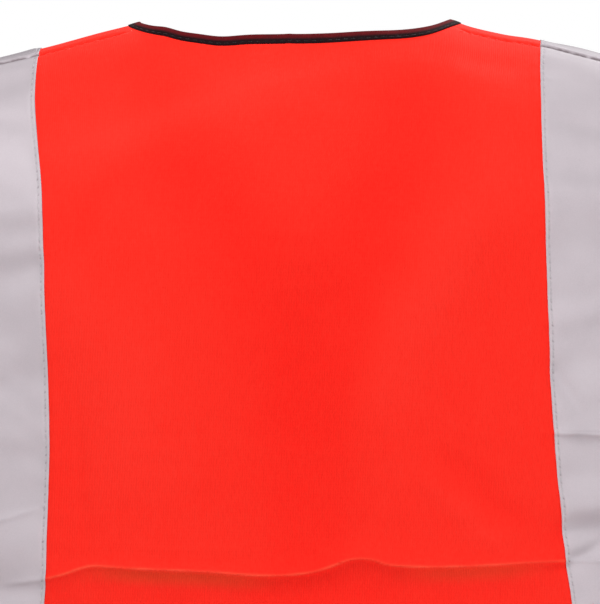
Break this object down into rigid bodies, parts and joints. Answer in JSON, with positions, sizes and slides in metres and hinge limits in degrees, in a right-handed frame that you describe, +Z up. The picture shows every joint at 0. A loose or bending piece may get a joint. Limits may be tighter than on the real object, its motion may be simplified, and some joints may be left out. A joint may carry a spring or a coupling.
{
  "type": "high visibility vest",
  "caption": "Sleeveless fluorescent safety vest with reflective bands and shoulder braces, bound edges and a separating front zip, standing open.",
  "frame": {"origin": "middle of the vest's width and depth, on the plane of its hem", "axes": "+Z up, -Y towards the front of the vest, +X towards the wearer's left"},
  "size_m": [0.5034, 0.1968, 0.6817],
  "materials": {
    "shell_fabric": "fluorescent red-orange warp-knit polyester",
    "reflective_tape": "silver glass-bead retroreflective cloth tape",
    "edge_binding": "black woven binding tape",
    "zip_tape": "black woven zip tape",
    "zip_plastic": "moulded black",
    "zip_metal": "black enamel",
    "label_cloth": "white satin, blank"
  },
  "bodies": {
    "vest_body": {"armhole_binding_left": "edge_binding", "armhole_binding_right": "edge_binding", "back_brace_tape_left": "reflective_tape", "back_brace_tape_right": "reflective_tape", "back_panel": "shell_fabric", "care_label": "label_cloth", "front_brace_tape_left": "reflective_tape", "front_brace_tape_right": "reflective_tape", "front_left_panel": "shell_fabric", "front_right_panel": "shell_fabric", "hem_binding": "edge_binding", "lower_band_back": "reflective_tape", "lower_band_left": "reflective_tape", "lower_band_right": "reflective_tape", "neck_binding": "edge_binding", "neck_label": "label_cloth", "side_seam_left": "shell_fabric", "side_seam_right": "shell_fabric", "upper_band_back": "reflective_tape", "upper_band_left": "reflective_tape", "upper_band_right": "reflective_tape"},
    "front_left": {"front_left_panel_flap": "shell_fabric", "upper_band_left_flap": "reflective_tape", "lower_band_left_flap": "reflective_tape", "neck_binding_left_flap": "edge_binding", "hem_binding_left_flap": "edge_binding", "zip_tape_left": "zip_tape", "zip_teeth_left": "zip_plastic", "zip_top_stop_left": "zip_plastic", "zip_insertion_pin": "zip_plastic"},
    "front_right": {"front_right_panel_flap": "shell_fabric", "upper_band_right_flap": "reflective_tape", "lower_band_right_flap": "reflective_tape", "neck_binding_right_flap": "edge_binding", "hem_binding_right_flap": "edge_binding", "zip_tape_right": "zip_tape", "zip_teeth_right": "zip_plastic", "zip_top_stop_right": "zip_plastic", "zip_retainer": "zip_plastic"},
    "zip_slider": {"zip_slider_body": "zip_metal"},
    "zip_pull": {"zip_pull_tab": "zip_metal"}
  },
  "joints": [
    {"name": "front_left_fold", "type": "hinge", "parent": "vest_body", "child": "front_left", "pos_m": [0.14, -0.08145, 0], "axis": [-0.1482, -0.0231, 0.9887], "range_deg": [0, 150]},
    {"name": "front_right_fold", "type": "hinge", "parent": "vest_body", "child": "front_right", "pos_m": [-0.14, -0.08145, 0], "axis": [-0.1482, 0.0231, -0.9887], "range_deg": [0, 150]},
    {"name": "zip_slider_travel", "type": "slide", "parent": "front_right", "child": "zip_slider", "axis": [0, 0, 1], "range_m": [-0.0355, 0.3655]},
    {"name": "zip_pull_swing", "type": "hinge", "parent": "zip_slider", "child": "zip_pull", "pos_m": [-0.004, -0.096, 0.0619], "axis": [-1, 0, 0], "range_deg": [0, 170]}
  ]
}
